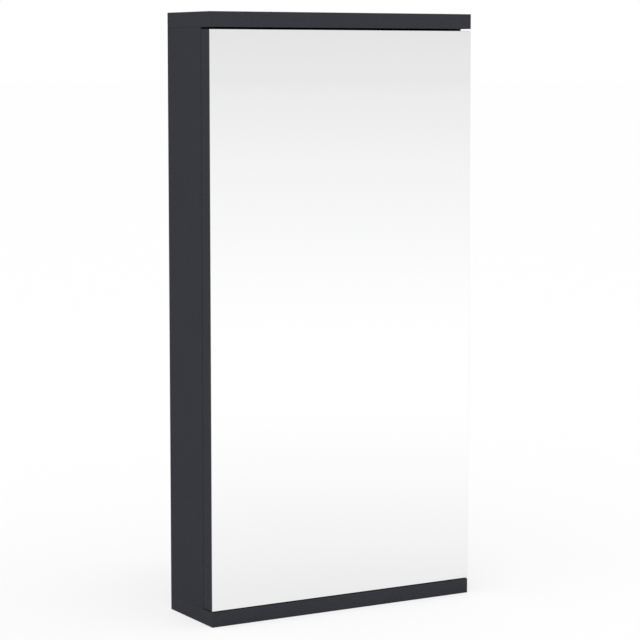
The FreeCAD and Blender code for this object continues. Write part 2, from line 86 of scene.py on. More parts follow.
# %% Expressions on sockets
class Signal:
    """A number that changes over a surface: the output of some node."""

    def __init__(self, shader, socket):
        self.shader = shader
        self.socket = socket

    def math(self, operation, *others):
        return self.shader.add("ShaderNodeMath", {"operation": operation}, {}, (self, *others))

    def __add__(self, other):
        return self.math("ADD", other)

    def __sub__(self, other):
        return self.math("SUBTRACT", other)

    def __mul__(self, other):
        return self.math("MULTIPLY", other)

    def __truediv__(self, other):
        return self.math("DIVIDE", other)

    def __rsub__(self, other):
        return self.shader.add("ShaderNodeMath", {"operation": "SUBTRACT"}, {}, (other, self))

    __radd__ = __add__
    __rmul__ = __mul__

    def between(self, low, high):
        """0 at low and 1 at high, with soft ends."""
        settings = {"interpolation_type": "SMOOTHSTEP"}
        return self.shader.add("ShaderNodeMapRange", settings,
                               {"Value": self, "From Min": low, "From Max": high})


# %% One method for every other node
class Shader:
    """The node tree of a material or of the world."""

    def __init__(self, owner):
        owner.use_nodes = True
        self.tree = owner.node_tree
        self.owner = owner

    def add(self, kind, settings=None, values=None, places=(), output=None):
        """Add a node and return its output. Values go to sockets by name, places by position."""
        made = self.tree.nodes.new(kind)
        for name, value in (settings or {}).items():
            if name == "stops":
                self.set_stops(made.color_ramp, value)
            else:
                setattr(made, name, value)
        for name, value in (values or {}).items():
            self.feed(next(s for s in made.inputs if s.enabled and s.name == name), value)
        for socket, value in zip(made.inputs, places):
            self.feed(socket, value)
        outputs = [s for s in made.outputs if s.enabled]
        return Signal(self, made.outputs[output] if output else outputs[0])

    def feed(self, socket, value):
        if isinstance(value, Signal):
            self.tree.links.new(value.socket, socket)
        elif isinstance(value, tuple) and socket.type == "RGBA":
            socket.default_value = (*value, 1.0)
        else:
            socket.default_value = value

    def set_stops(self, ramp, stops):
        while len(ramp.elements) < len(stops):
            ramp.elements.new(1.0)
        for element, (place, colour) in zip(ramp.elements, stops):
            element.position = place
            element.color = (*colour, 1.0)

    def mix(self, share, first, second):
        """A colour between two colours."""
        values = {"Factor": share, "A": first, "B": second}
        return self.add("ShaderNodeMix", {"data_type": "RGBA"}, values)

    def noise(self, where, size, detail=2.0, rough=0.5):
        """Soft random spots of about that size in metres."""
        values = {"Vector": where, "Scale": 1.0 / size, "Detail": detail, "Roughness": rough}
        return self.add("ShaderNodeTexNoise", {}, values)

    def bump(self, height, depth):
        return self.add("ShaderNodeBump", {}, {"Height": height, "Distance": depth})

    def split(self, vector):
        """The x, y and z of a vector."""
        made = self.add("ShaderNodeSeparateXYZ", {}, {"Vector": vector})
        return [Signal(self, socket) for socket in made.socket.node.outputs]


# %% [markdown]
# Every finish below starts from the same place: a material with one Principled shader, the
# object's own coordinates, and their separate x, y and z. Sockets that hold one value all
# over are set on the shader itself, because the export keeps those.


# %% A finish and its coordinates
class Finish(Shader):
    """A material of the cabinet, with the object's coordinates at hand."""

    def __init__(self, name, fixed):
        super().__init__(bpy.data.materials.new(name))
        self.shader = self.tree.nodes["Principled BSDF"]
        for socket, value in fixed.items():
            self.feed(self.shader.inputs[socket], value)
        self.where = self.add("ShaderNodeTexCoord", output="Object")
        self.facing = self.add("ShaderNodeTexCoord", output="Normal")
        self.x, self.y, self.z = self.split(self.where)

    def drive(self, **sockets):
        for name, value in sockets.items():
            self.feed(self.shader.inputs[name.replace("_", " ")], value)

    def along(self, direction):
        """How much the surface faces a direction or its opposite: 1 straight, 0 edge on."""
        dot = self.add("ShaderNodeVectorMath", {"operation": "DOT_PRODUCT"}, {},
                       (self.facing, tuple(direction)), output="Value")
        return dot.math("ABSOLUTE")

    def depth_behind(self, edges):
        """How deep a point lies behind the nearest of some edges."""
        nearest = None
        for direction, reach in edges:
            dot = self.add("ShaderNodeVectorMath", {"operation": "DOT_PRODUCT"}, {},
                           (self.where, tuple(direction)), output="Value")
            depth = reach - dot
            nearest = nearest.math("MINIMUM", depth) if nearest else depth
        return nearest


# %% [markdown]
# The boards are particle board with a matt anthracite melamine skin. Melamine is pressed
# against a textured plate, so it has a fine pearl grain that breaks up reflections. The open
# edges carry a plastic band of nearly the same colour, whose own edge shows on the faces as a
# hairline. One flat colour would look like a drawing, and a photograph of melamine would
# repeat. So a coarse and a fine noise vary the colour, and the fine one also drives the
# roughness and the bump. The hairline could be a groove in the mesh, but it is only a fifth
# of a millimetre wide and hardly deeper than paint. So it is drawn by distance: each banded
# edge is a plane, and the nearest one counts.

# %% Board colours
BOARD_FACE = (0.0290, 0.0305, 0.0392)
BOARD_BAND = (0.0275, 0.0295, 0.0372)
BAND_DEPTH = 0.8 * mm
HAIRLINE = 0.2 * mm
HAIRLINE_SHADE = 0.3
FACE_TURN = (0.72, 0.92)
print("edge band in mm:", BAND_DEPTH / mm)

# %% Board texture
PEARL = 0.9 * mm
PEARL_SLOPE = (0.32, 0.68)
PEARL_HEIGHT = 0.06 * mm
CLOUD = 45 * mm
TONE_LOW, TONE_PEARL, TONE_CLOUD = 0.78, 0.32, 0.12
ROUGH_LOW, ROUGH_PEARL, BAND_POLISH = 0.40, 0.20, 0.08
print("pearl grain in mm:", PEARL / mm)


# %% Melamine board
def board_finish(name, face_direction, banded_edges):
    """Melamine on the faces that look along a direction, edge band on all the others. A banded
    edge is a direction out of the board and how far the board reaches that way."""
    finish = Finish(name, {"Specular IOR Level": 0.16})
    pearl = finish.noise(finish.where, PEARL, 3.0, 0.6).between(*PEARL_SLOPE)
    cloud = finish.noise(finish.where, CLOUD, 2.0)
    band = 1 - finish.along(face_direction).between(*FACE_TURN)
    line = 0.0
    if banded_edges:
        depth = finish.depth_behind(banded_edges)
        inside = depth.between(BAND_DEPTH - HAIRLINE, BAND_DEPTH)
        line = inside - depth.between(BAND_DEPTH, BAND_DEPTH + HAIRLINE)
        band = band.math("MAXIMUM", 1 - inside)
    skin = finish.mix(band, BOARD_FACE, BOARD_BAND)
    tone = (TONE_LOW + pearl * TONE_PEARL + cloud * TONE_CLOUD) * (1 - line * HAIRLINE_SHADE)
    colour = finish.add("ShaderNodeVectorMath", {"operation": "SCALE"},
                        {"Vector": skin, "Scale": tone})
    finish.drive(Base_Color=colour,
                 Roughness=ROUGH_LOW + pearl * ROUGH_PEARL - band * BAND_POLISH,
                 Normal=finish.bump(pearl, PEARL_HEIGHT))
    return finish.owner


# %% [markdown]
# A sheet is cut into boards, and only the cut edges that show get a band. So a material has to
# know which way its board faces and where its edges are. One material for each kind of board
# is simpler than painting masks, and the reach of each edge is read from the board's box.


# %% Banded edges of a board
def edges_of(node, *directions):
    """The banded edges of a board, with the reach of its box in each direction."""
    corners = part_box(node)
    edges = []
    for direction in directions:
        out = Vector(direction)
        edges.append((out, max(corner.dot(out) for corner in corners)))
    return edges


# %% One material for each kind of board
LEFT, RIGHT, NEAR = (-1, 0, 0), (1, 0, 0), (0, -1, 0)
DOWN, UP = (0, 0, -1), (0, 0, 1)
SLANT = math.sqrt(0.5)
wall_edges = [(Vector((side * SLANT, SLANT, 0)), cad_high.y * SLANT) for side in (-1, 1)]
board_materials = {
    "board_end": board_finish("board_end", UP, edges_of("top_panel", LEFT, RIGHT, NEAR) + wall_edges),
    "board_shelf": board_finish("board_shelf", UP, edges_of("upper_shelf", NEAR)),
    "board_side": board_finish("board_side", RIGHT, edges_of("left_side_panel", NEAR)),
    "board_door": board_finish("board_door", NEAR, edges_of("door_panel", LEFT, RIGHT, DOWN, UP)),
    "board_left_wall": board_finish("board_left_wall", (SLANT, -SLANT, 0), []),
    "board_right_wall": board_finish("board_right_wall", (SLANT, SLANT, 0), []),
}
print("board materials:", ", ".join(board_materials))

# %% [markdown]
# The mirror is 3 mm float glass, silvered behind. It could be a glass sheet before a metal
# one, but that doubles every reflection for a difference that nobody sees from a step away.
# Seen from in front it is all reflection, so its front face is a clean metal with a trace of
# green. Its edge is sealed with a dark lacquer, so it hardly shows beside the board. The y
# coordinate tells the two apart. Float glass is nearly flat, so its waves are wide and low.

# %% Mirror values
SILVER = (0.975, 0.98, 0.977)
LACQUER_DARK, LACQUER_PALE = (0.024, 0.026, 0.031), (0.034, 0.036, 0.042)
LACQUER_ROUGH = 0.4
LACQUER_FROM, LACQUER_FULL = FRONT + 0.5 * mm, FRONT + 0.7 * mm
GLASS_WAVE, WAVE_HEIGHT = 160 * mm, 0.004 * mm
SPECK = 1.5 * mm
print("the mirror's lacquer starts at y in mm:", round(LACQUER_FROM / mm, 1))


# %% Mirror
def mirror_finish():
    finish = Finish("mirror", {"Specular IOR Level": 0.2})
    edge = finish.y.between(LACQUER_FROM, LACQUER_FULL)
    waves = finish.noise(finish.where, GLASS_WAVE, 1.0)
    specks = finish.noise(finish.where, SPECK, 3.0)
    lacquer = finish.mix(specks, LACQUER_DARK, LACQUER_PALE)
    finish.drive(Base_Color=finish.mix(edge, SILVER, lacquer), Metallic=1 - edge,
                 Roughness=edge * LACQUER_ROUGH, Normal=finish.bump(waves, WAVE_HEIGHT))
    return finish.owner


# %% [markdown]
# The hinges are pressed steel with a bright nickel coat, the cam discs are cast zinc. One even
# roughness makes metal look like plastic, and drawn scratches would be too coarse for pieces
# of this size. So a slow noise dulls the metal in patches, as handling does, and a fine one
# gives the grain of the press or of the mould. One function makes all three metals.

# %% Metal values
DULL_SHADE = 0.93
DULL_ROUGH = 0.08
METAL_GRAIN = 0.4 * mm
print("metal grain in mm:", METAL_GRAIN / mm)


# %% Metals
def metal_finish(name, colour, roughness, patch, grain_depth):
    finish = Finish(name, {"Metallic": 1.0})
    dull = finish.noise(finish.where, patch, 2.0)
    grain = finish.noise(finish.where, METAL_GRAIN, 2.0)
    shade = tuple(DULL_SHADE * part for part in colour)
    finish.drive(Base_Color=finish.mix(dull, colour, shade),
                 Roughness=roughness + dull * DULL_ROUGH,
                 Normal=finish.bump(grain, grain_depth))
    return finish.owner


# %% [markdown]
# Three more finishes are seldom seen. The dowels are raw beech, whose pores are streaks: a
# noise that is squeezed along the grain. A drilled hole shows the raw chipboard, with pale
# and dark chips side by side. The door's buffers are clear soft plastic, but a drop so small
# on a dark board looks milky, and milky plastic renders quicker than clear.

# %% Wood and plastic values
BEECH_PALE, BEECH_DARK = (0.62, 0.43, 0.25), (0.42, 0.26, 0.13)
PORE, PORE_DEPTH = 1.2 * mm, 0.05 * mm
PORE_SQUEEZE = (1.0, 1.0, 0.12)
CHIP_DARK, CHIP_PALE = (0.24, 0.16, 0.09), (0.55, 0.42, 0.27)
CHIP, CHIP_DEPTH = 1.6 * mm, 0.25 * mm
CHIP_SLOPE = (0.35, 0.65)
MILKY_DARK, MILKY_PALE = (0.56, 0.56, 0.54), (0.70, 0.70, 0.67)
MILKY_CLOUD = 3 * mm
MILKY_ROUGH_LOW, MILKY_ROUGH_CLOUD = 0.3, 0.15
print("chips in mm:", CHIP / mm)


# %% Wood
def beech_finish():
    finish = Finish("raw_beech", {"Roughness": 0.6})
    squeezed = finish.add("ShaderNodeMapping", {}, {"Vector": finish.where, "Scale": PORE_SQUEEZE})
    pores = finish.noise(squeezed, PORE, 4.0)
    finish.drive(Base_Color=finish.mix(pores, BEECH_PALE, BEECH_DARK),
                 Normal=finish.bump(pores, PORE_DEPTH))
    return finish.owner


def chipboard_finish():
    finish = Finish("raw_chipboard", {"Roughness": 0.85, "Specular IOR Level": 0.2})
    chips = finish.noise(finish.where, CHIP, 4.0, 0.7)
    finish.drive(Base_Color=finish.mix(chips.between(*CHIP_SLOPE), CHIP_DARK, CHIP_PALE),
                 Normal=finish.bump(chips, CHIP_DEPTH))
    return finish.owner


# %% Soft plastic
def buffer_finish():
    finish = Finish("soft_plastic", {"Specular IOR Level": 0.4})
    cloud = finish.noise(finish.where, MILKY_CLOUD, 2.0)
    finish.drive(Base_Color=finish.mix(cloud, MILKY_DARK, MILKY_PALE),
                 Roughness=MILKY_ROUGH_LOW + cloud * MILKY_ROUGH_CLOUD)
    return finish.owner


# %% All small finishes
mirror = mirror_finish()
nickel = metal_finish("nickel_plate", (0.76, 0.745, 0.71), 0.3, 14 * mm, 0.004 * mm)
zinc = metal_finish("cast_zinc", (0.60, 0.61, 0.62), 0.42, 6 * mm, 0.03 * mm)
screw_steel = metal_finish("screw_steel", (0.70, 0.68, 0.63), 0.28, 4 * mm, 0.008 * mm)
beech = beech_finish()
chipboard = chipboard_finish()
soft_plastic = buffer_finish()
print("finishes:", len(bpy.data.materials))

# %% [markdown]
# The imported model's meshes are loose triangles with sharp corners. Real boards and pressed
# metal have small rounds that catch the light, and a corner without one looks cut from
# paper. A Bevel modifier alone would find nothing to round, since no two loose triangles
# share an edge. So a copy of each mesh is merged, its flat faces are joined up again, and its
# sharp edges get a small bevel. The copy then stands for its node. In a board, the small
# faces are the walls of drilled holes, which show the raw chipboard, and only the long edges
# are rounded: a drill leaves no round.

# %% Sizes of the rounds
HOLE_FACE = 60 * mm * mm
LONG_EDGE = 12 * mm
SHARP = math.radians(35)
ROUND_STEPS = 2
MERGE = 0.002 * mm
FLAT = math.radians(0.4)
SMOOTH = math.radians(30)
print("edges over", LONG_EDGE / mm, "mm are rounded on the boards")


# %% A copy of a node
def plain_mesh(made):
    """The object's mesh with its modifiers worked out."""
    graph = bpy.context.evaluated_depsgraph_get()
    return bpy.data.meshes.new_from_object(made.evaluated_get(graph))


def merged_copy(node):
    """The node's mesh with its triangles joined up to whole flat faces."""
    shape = bmesh.new()
    shape.from_mesh(nodes[node].data)
    bmesh.ops.remove_doubles(shape, verts=shape.verts, dist=MERGE)
    bmesh.ops.dissolve_limit(shape, angle_limit=FLAT, verts=shape.verts, edges=shape.edges)
    return shape


# %% A finished piece
def piece_from(shape, name, body, materials):
    """Make an object of a bmesh and let it ride on a body. It is shaded smooth where its faces
    meet at a small angle, and large faces keep their own direction beside the rounds."""
    for face in shape.faces:
        face.smooth = True
    mesh = bpy.data.meshes.new(name)
    shape.to_mesh(mesh)
    shape.free()
    mesh.set_sharp_from_angle(angle=SMOOTH)
    for material in materials:
        mesh.materials.append(material)
    piece = bpy.data.objects.new(name, mesh)
    bpy.context.scene.collection.objects.link(piece)
    weighted = piece.modifiers.new("weighted", "WEIGHTED_NORMAL")
    weighted.keep_sharp = True
    piece.data = plain_mesh(piece)
    piece.modifiers.clear()
    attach(piece, body)
    return piece


# %% Round the edges of a copy
def softened(node, body, materials, width, shortest=0.0):
    """A copy of a node with its sharp edges rounded, where they are longer than shortest. Its
    small faces get the second material, if there is one."""
    shape = merged_copy(node)
    for face in shape.faces:
        face.material_index = int(len(materials) > 1 and face.calc_area() < HOLE_FACE)
    sharp = [edge for edge in shape.edges if edge.is_manifold
             and edge.calc_face_angle() > SHARP and edge.calc_length() > shortest]
    if width:
        bmesh.ops.bevel(shape, geom=sharp, offset=width, segments=ROUND_STEPS, profile=0.5,
                        affect="EDGES", clamp_overlap=False)
    piece = piece_from(shape, node + "_soft", body, materials)
    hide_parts(node)
    return piece


# %% [markdown]
# Nine boards make the cabinet and its door. The shelves are rounded most, since hands reach
# over their front edge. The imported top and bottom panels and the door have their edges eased
# already, so they get no bevel, and no hole in the two panels shows its wall.

# %% Boards
BOARDS = {
    "top_panel": ("cabinet", "board_end", 0),
    "bottom_panel": ("cabinet", "board_end", 0),
    "lower_shelf": ("cabinet", "board_shelf", 0.4 * mm),
    "upper_shelf": ("cabinet", "board_shelf", 0.4 * mm),
    "left_side_panel": ("cabinet", "board_side", 0.2 * mm),
    "right_side_panel": ("cabinet", "board_side", 0.2 * mm),
    "left_back_panel": ("cabinet", "board_left_wall", 0.2 * mm),
    "right_back_panel": ("cabinet", "board_right_wall", 0.2 * mm),
    "door_panel": ("door", "board_door", 0),
}
for board_name, (body, finish_name, width) in BOARDS.items():
    finishes = [board_materials[finish_name]]
    if board_name not in ("top_panel", "bottom_panel"):
        finishes.append(chipboard)
    piece = softened(board_name, body, finishes, width, LONG_EDGE)
    print(piece.name, len(piece.data.polygons), "faces")

# %% [markdown]
# A concealed hinge has five pressed pieces and six pins. Each piece rides on the body that it
# turns with, so that the poses open the linkage. The same rounding serves for all of them,
# only smaller than on wood, because a press leaves crisp edges.

# %% Hinge pieces
HINGE_BODIES = {"plate": "cabinet", "arm": "cabinet", "outer_link": "outer_links",
                "inner_link": "inner_links", "cup": "door"}
for level in ("lower", "upper"):
    for part, body in HINGE_BODIES.items():
        piece = softened(level + "_hinge_" + part, body, [nickel], 0.15 * mm)
        print(piece.name, len(piece.data.polygons), "faces")

# %% Small fittings
FITTINGS = {
    "hinge_arm_pins": ("cabinet", "nickel", nickel, 0.1 * mm),
    "hinge_cup_pins": ("door", "nickel", nickel, 0.1 * mm),
    "shelf_pins": ("cabinet", "nickel", nickel, 0.25 * mm),
    "cam_discs": ("cabinet", "zinc", zinc, 0.12 * mm),
    "door_buffers": ("door", "buffer", soft_plastic, 0.08 * mm),
}
for node, (body, slot, finish, width) in FITTINGS.items():
    piece = softened(node, body, [finish], width)
    print(piece.name, len(piece.data.polygons), "faces")

# %% The nodes that keep their own mesh
OWN_MESH = {"mirror_glass": mirror, "dowels": beech, "cam_bolts": zinc}
for node, finish in OWN_MESH.items():
    mesh = nodes[node].data
    mesh.materials.clear()
    mesh.materials.append(finish)
    print(node, "is dressed in", finish.name)

# %% [markdown]
# Three kinds of screws hold the hinges, twelve in all. Each could be copied and placed by
# hand, but they repeat, so one Geometry Nodes group makes them: a domed head with a crossed
# recess and a plain shank, set on points that know which way their screw is driven. The
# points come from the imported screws' own boxes, and every screw is turned at random, because
# nobody lines the crosses up.


# %% Boxes of a node's solids
def solid_boxes(node):
    """Lowest and highest corner of each separate solid in a node."""
    shape = merged_copy(node)
    left = set(shape.verts)
    boxes = []
    while left:
        places, waiting = [], [left.pop()]
        while waiting:
            vertex = waiting.pop()
            places.append(vertex.co.copy())
            for edge in vertex.link_edges:
                other = edge.other_vert(vertex)
                if other in left:
                    left.discard(other)
                    waiting.append(other)
        boxes.append((Vector(min(place[axis] for place in places) for axis in range(3)),
                      Vector(max(place[axis] for place in places) for axis in range(3))))
    shape.free()
    return sorted(boxes, key=lambda box: (round(box[0].z, 5), round(box[0].y, 5)))


# %% A small helper for Geometry Nodes
class Recipe:
    """A Geometry Nodes group with named inputs, ended by Realize Instances and Set Material."""

    def __init__(self, name, inputs):
        self.tree = bpy.data.node_groups.new(name, "GeometryNodeTree")
        self.tree.interface.new_socket("Geometry", in_out="OUTPUT", socket_type="NodeSocketGeometry")
        self.tree.interface.new_socket("Geometry", in_out="INPUT", socket_type="NodeSocketGeometry")
        self.identifiers = {}
        for label, kind in inputs.items():
            socket = self.tree.interface.new_socket(label, in_out="INPUT", socket_type="NodeSocket" + kind)
            self.identifiers[label] = socket.identifier
        self.given = self.tree.nodes.new("NodeGroupInput")
        self.result = self.tree.nodes.new("NodeGroupOutput")

    def ask(self, label):
        return self.given.outputs[label]

    def add(self, kind, settings=None, output=0, **values):
        """Add a node. Values go to its enabled sockets by name, with _ for a blank."""
        made = self.tree.nodes.new(kind)
        for name, value in (settings or {}).items():
            setattr(made, name, value)
        for name, value in values.items():
            wanted = name.replace("_", " ")
            socket = next(s for s in made.inputs if s.enabled and s.name == wanted)
            for item in value if isinstance(value, list) else [value]:
                if isinstance(item, bpy.types.NodeSocket):
                    self.tree.links.new(item, socket)
                else:
                    socket.default_value = item
        return [s for s in made.outputs if s.enabled][output]

    def math(self, operation, *values):
        made = self.tree.nodes.new("ShaderNodeMath")
        made.operation = operation
        for socket, value in zip(made.inputs, values):
            if isinstance(value, bpy.types.NodeSocket):
                self.tree.links.new(value, socket)
            else:
                socket.default_value = value
        return made.outputs[0]

    def vector(self, x=0.0, y=0.0, z=0.0):
        return self.add("ShaderNodeCombineXYZ", X=x, Y=y, Z=z)

    def finish(self, geometry):
        solid = self.add("GeometryNodeRealizeInstances", Geometry=geometry)
        dressed = self.add("GeometryNodeSetMaterial", Geometry=solid, Material=self.ask("Material"))
        self.tree.links.new(dressed, self.result.inputs["Geometry"])


# %% Fixed numbers of a screw
# One slot is less deep than the other, because the Boolean leaves stray faces where the
# floors of both lie in one plane.
CROSS_SHARE = 0.9
DOME_POWER = 2.6
HEAD_CORNERS, HEAD_RINGS, SHANK_CORNERS = 40, 6, 20
print("corners of a screw head:", HEAD_CORNERS)


# %% The screw's recipe
def screw_recipe():
    recipe = Recipe("screws", {
        "Head Radius": "Float", "Head Height": "Float", "Dome": "Float", "Shank Radius": "Float",
        "Shank Length": "Float", "Recess Length": "Float", "Recess Width": "Float",
        "Recess Depth": "Float", "Seed": "Int", "Material": "Material"})
    radius, height = recipe.ask("Head Radius"), recipe.ask("Head Height")
    disc = recipe.add("GeometryNodeMeshCylinder", Vertices=HEAD_CORNERS, Side_Segments=1,
                      Fill_Segments=HEAD_RINGS, Radius=radius, Depth=height)
    place = recipe.add("GeometryNodeInputPosition")
    spot = recipe.add("ShaderNodeSeparateXYZ", Vector=place).node.outputs
    length = recipe.add("ShaderNodeVectorMath", {"operation": "LENGTH"},
                        Vector=recipe.vector(spot["X"], spot["Y"]))
    out = recipe.math("DIVIDE", length, radius)
    fall = recipe.math("MULTIPLY", recipe.math("POWER", out, DOME_POWER), recipe.ask("Dome"))
    on_top = recipe.math("GREATER_THAN", spot["Z"], 0.0)
    down = recipe.vector(z=recipe.math("MULTIPLY", recipe.math("MULTIPLY", fall, on_top), -1.0))
    domed = recipe.add("GeometryNodeSetPosition", Geometry=disc, Offset=down)
    lift = recipe.vector(z=recipe.math("MULTIPLY", height, 0.5))
    head = recipe.add("GeometryNodeTransform", Geometry=domed, Translation=lift)
    deep = recipe.math("MULTIPLY", recipe.ask("Recess Depth"), 2.0)
    shallow = recipe.math("MULTIPLY", deep, CROSS_SHARE)
    sizes = (recipe.vector(recipe.ask("Recess Length"), recipe.ask("Recess Width"), deep),
             recipe.vector(recipe.ask("Recess Width"), recipe.ask("Recess Length"), shallow))
    slots = []
    for size in sizes:
        bar = recipe.add("GeometryNodeMeshCube", Size=size)
        slots.append(recipe.add("GeometryNodeTransform", Geometry=bar, Translation=recipe.vector(z=height)))
    cut = recipe.add("GeometryNodeMeshBoolean", {"operation": "DIFFERENCE"}, Mesh_1=head, Mesh_2=slots)
    shank = recipe.add("GeometryNodeMeshCylinder", Vertices=SHANK_CORNERS,
                       Radius=recipe.ask("Shank Radius"), Depth=recipe.ask("Shank Length"))
    sunk = recipe.vector(z=recipe.math("MULTIPLY", recipe.ask("Shank Length"), -0.5))
    shank = recipe.add("GeometryNodeTransform", Geometry=shank, Translation=sunk)
    whole = recipe.add("GeometryNodeJoinGeometry", Geometry=[cut, shank])
    direction = recipe.add("GeometryNodeInputNamedAttribute", {"data_type": "FLOAT_VECTOR"}, Name="outward")
    upright = recipe.add("FunctionNodeAlignRotationToVector", {"axis": "Z"}, Vector=direction)
    turn = recipe.add("FunctionNodeRandomValue", {"data_type": "FLOAT"}, Min=0.0, Max=math.tau,
                      Seed=recipe.ask("Seed"))
    spin = recipe.add("FunctionNodeAxisAngleToRotation", Angle=turn)
    turned = recipe.add("FunctionNodeRotateRotation", {"rotation_space": "LOCAL"}, Rotation=upright,
                        Rotate_By=spin)
    points = recipe.add("GeometryNodeMeshToPoints", Mesh=recipe.ask("Geometry"))
    set_out = recipe.add("GeometryNodeInstanceOnPoints", Points=points, Instance=whole, Rotation=turned)
    recipe.finish(set_out)
    return recipe


# %% Grow a recipe into a plain mesh
def grown(recipe, name, places, outward, values, body):
    """Evaluate a recipe on points, and keep the result as one plain piece of a body."""
    mesh = bpy.data.meshes.new(name + "_points")
    mesh.from_pydata(places, [], [])
    aim = mesh.attributes.new("outward", "FLOAT_VECTOR", "POINT")
    for item in aim.data:
        item.vector = outward
    seedling = bpy.data.objects.new(name + "_points", mesh)
    bpy.context.scene.collection.objects.link(seedling)
    modifier = seedling.modifiers.new("recipe", "NODES")
    modifier.node_group = recipe.tree
    for label, value in values.items():
        modifier[recipe.identifiers[label]] = value
    result = plain_mesh(seedling)
    bpy.data.objects.remove(seedling)
    shape = bmesh.new()
    shape.from_mesh(result)
    return piece_from(shape, name, body, list(result.materials))


# %% Screws
SCREWS = {
    "hinge_cup_screws": ("door", Vector((0, 1, 0)), 1.0 * mm),
    "hinge_plate_screws": ("cabinet", Vector((-1, 0, 0)), 1.8 * mm),
    "hinge_adjusting_screws": ("cabinet", Vector((-1, 0, 0)), 1.6 * mm),
}
HEAD_RADIUS = 3.6 * mm
SHANK_RADIUS = 1.75 * mm
DOME_SHARE = 0.55
RECESS = {"Recess Length": 4.0 * mm, "Recess Width": 0.9 * mm, "Recess Depth": 0.75 * mm}
screws = screw_recipe()
for seed, (node, (body, outward, height)) in enumerate(SCREWS.items()):
    boxes = solid_boxes(node)
    reach = abs((boxes[0][1] - boxes[0][0]).dot(outward))
    places = [(low + high) / 2 + outward * (reach / 2 - height) for low, high in boxes]
    values = {"Head Radius": HEAD_RADIUS, "Head Height": height, "Dome": DOME_SHARE * height,
              "Shank Radius": SHANK_RADIUS, "Shank Length": reach - height, **RECESS,
              "Seed": seed, "Material": screw_steel}
    piece = grown(screws, node + "_grown", places, outward, values, body)
    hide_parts(node)
    print(piece.name, len(places), "screws,", len(piece.data.polygons), "faces")

# %% [markdown]
# The photograph was taken from the left, a little below the cabinet's top, through a long
# lens: the near edge looks only about 6 percent taller than the one at the far right. The
# camera stands there and looks slightly down, and a small shift lifts the cabinet to its
# place in the picture. A level camera with a large shift would keep the upright edges
# exactly upright, but other views of the scene would then lose the cabinet from their frame.

# %% Camera
CAMERA_PLACE = Vector((-1.1665, -2.0745, 0.5523))
CAMERA_TURN = math.radians(-30.22)
CAMERA_TILT = math.radians(5.73)
LENS = 128.9
SHIFT = -0.045
camera_data = bpy.data.cameras.new("camera")
camera_data.lens = LENS
camera_data.shift_y = SHIFT
camera = bpy.data.objects.new("camera", camera_data)
camera.location = CAMERA_PLACE
camera.rotation_euler = Euler((math.pi / 2 - CAMERA_TILT, 0, CAMERA_TURN))
bpy.context.scene.collection.objects.link(camera)
bpy.context.scene.camera = camera
print("camera to cabinet:", round(CAMERA_PLACE.length, 2), "m")

# %% [markdown]
# The mirror fills most of the picture, so what it reflects matters most. In the photograph it
# shows a studio: light grey at eye level, white a little lower, and greyer again close to
# the cabinet. Painting that on the mirror would look wrong from any other side, so the
# studio has these tones. Rays that go down meet the floor, so the floor carries the change
# of tone by its distance, for glossy rays alone: for them the floor glows with a painted
# reflection, and its grey close to the cabinet is a painted shadow. The world carries the
# part at eye level and above. Behind the cabinet the studio is dark, so that the boards, seen
# at a slant, stay as dark as they are painted: dimmer world light, and on the floor a painted
# shade.

# %% Tones in the mirror
MIRROR_GAIN = 1.02
# The dark end: dimmer world light for glossy rays, and painted shade on the floor's glossy tones.
DARK_END = 0.32
DARK_SIDE = (-0.4, 0.15)
TINY = 0.001
FLOOR_RADIUS = 60.0
# Painted tones of the floor for glossy rays, by distance in metres: a painted reflection, darker near the
# cabinet as a painted shadow.
PAINTED_FLOOR_TONES = ((0.11, 0.80), (0.29, 0.863), (0.6, 0.925), (0.85, 0.957), (1.15, 0.985),
               (1.5, 1.0), (2.4, 1.0), (3.5, 0.98), (4.4, 0.955), (7.2, 0.922), (17.4, 0.863),
               (60.0, 0.816))
SKY_TONES = ((-90.0, 0.81), (0.0, 0.805), (0.5, 0.776), (12.0, 0.80), (40.0, 0.95), (90.0, 1.0))
print("tones of the floor:", len(PAINTED_FLOOR_TONES), "and of the sky:", len(SKY_TONES))


# %% Two helpers for the tones
def tone_ramp(shader, share, tones, first, last):
    """A grey ramp: each tone sits at its place between first and last."""
    stops = [((place - first) / (last - first), (MIRROR_GAIN * tone,) * 3) for place, tone in tones]
    return shader.add("ShaderNodeValToRGB", {"stops": stops}, {"Fac": share})


def darker_behind(shader, colour, sideways, backward):
    """Dim a colour for glossy rays where its direction points to the dark end of the studio. In the world
    that is dimmer light; on the floor it is painted shade.
    """
    reach = (sideways * sideways + backward * backward).math("SQRT")
    share = (backward / reach.math("MAXIMUM", TINY)).between(*DARK_SIDE)
    return shader.mix(share, colour, (DARK_END,) * 3)


# %% [markdown]
# The world is the room's even light. A plain grey world would show in the mirror as one flat
# tone, so each kind of ray gets its own colour: white for the camera, the studio's tones for
# reflections, and one even light for everything else.

# %% World values
WHITE = (1.0, 1.0, 1.0)
ROOM_LIGHT = (1.02, 1.02, 1.02)
print("room light:", ROOM_LIGHT[0])


# %% World
def studio_world():
    world = bpy.data.worlds.new("studio")
    bpy.context.scene.world = world
    shader = Shader(world)
    background = shader.tree.nodes["Background"]
    direction = shader.add("ShaderNodeTexCoord", output="Generated")
    sideways, backward, height = shader.split(direction)
    degrees = height.math("ARCSINE") * (180 / math.pi)
    seen = tone_ramp(shader, (degrees + 90) / 180, SKY_TONES, -90.0, 90.0)
    seen = darker_behind(shader, seen, sideways, backward)
    camera_ray = shader.add("ShaderNodeLightPath", output="Is Camera Ray")
    glossy_ray = shader.add("ShaderNodeLightPath", output="Is Glossy Ray")
    colour = shader.mix(glossy_ray, ROOM_LIGHT, seen)
    shader.feed(background.inputs["Color"], shader.mix(camera_ray, colour, WHITE))
    return world


print("world:", studio_world().name)
